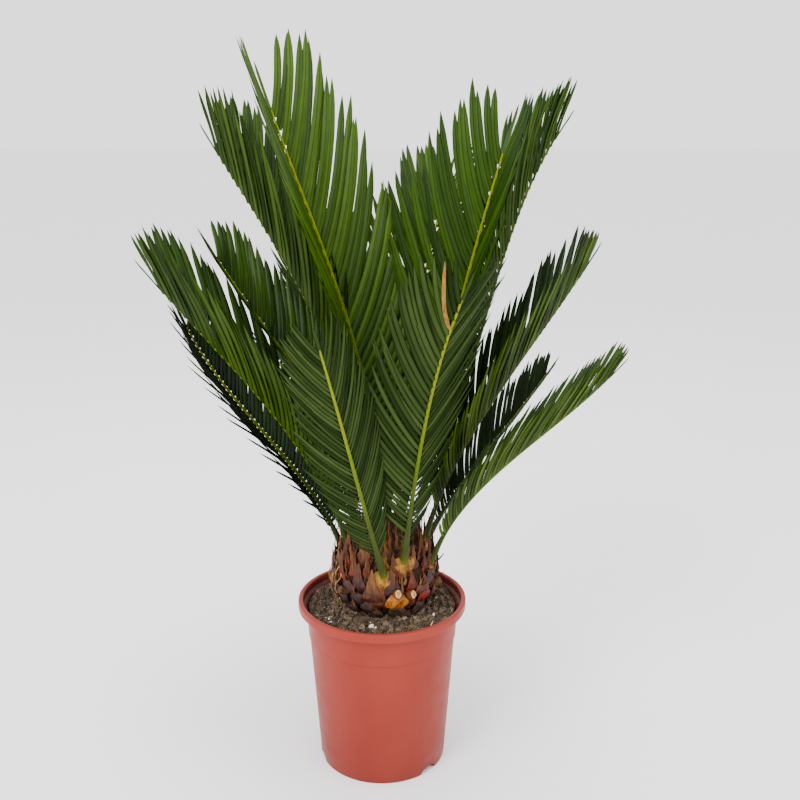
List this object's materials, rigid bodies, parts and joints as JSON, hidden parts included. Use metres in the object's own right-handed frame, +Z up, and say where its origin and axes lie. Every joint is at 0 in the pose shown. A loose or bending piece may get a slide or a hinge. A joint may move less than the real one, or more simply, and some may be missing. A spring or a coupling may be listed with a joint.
{
  "type": "potted sago palm",
  "caption": "Sago palm with a scaly stem and a vase of arching feather fronds, planted in a round tapered nursery pot with a rolled rim.",
  "frame": {"origin": "middle of the flat underside of the pot, at floor level", "axes": "+Z up along the pot's axis; the pot faces -Y and +X is to the right of someone who looks at it along +Y"},
  "size_m": [0.4573, 0.4797, 0.7283],
  "materials": {
    "pot_plastic": "satin moulded polypropylene",
    "potting_mix": "loose dark potting mix with white grains",
    "stem": "dry scaly leaf bases",
    "frond": "waxy green"
  },
  "bodies": {
    "root": {"pot": "pot_plastic", "soil": "potting_mix", "caudex": "stem", "frond_front_left": "frond", "frond_front_right": "frond", "frond_left_top": "frond", "frond_right_top": "frond", "frond_left_low": "frond", "frond_right_low": "frond", "frond_right_upper": "frond", "frond_left_back": "frond", "frond_right_far": "frond", "frond_left_mid": "frond", "frond_left_lowest": "frond", "frond_right_back": "frond", "frond_back": "frond", "frond_back_left": "frond", "frond_back_right": "frond", "frond_back_low": "frond", "frond_back_low_left": "frond"}
  },
  "joints": []
}
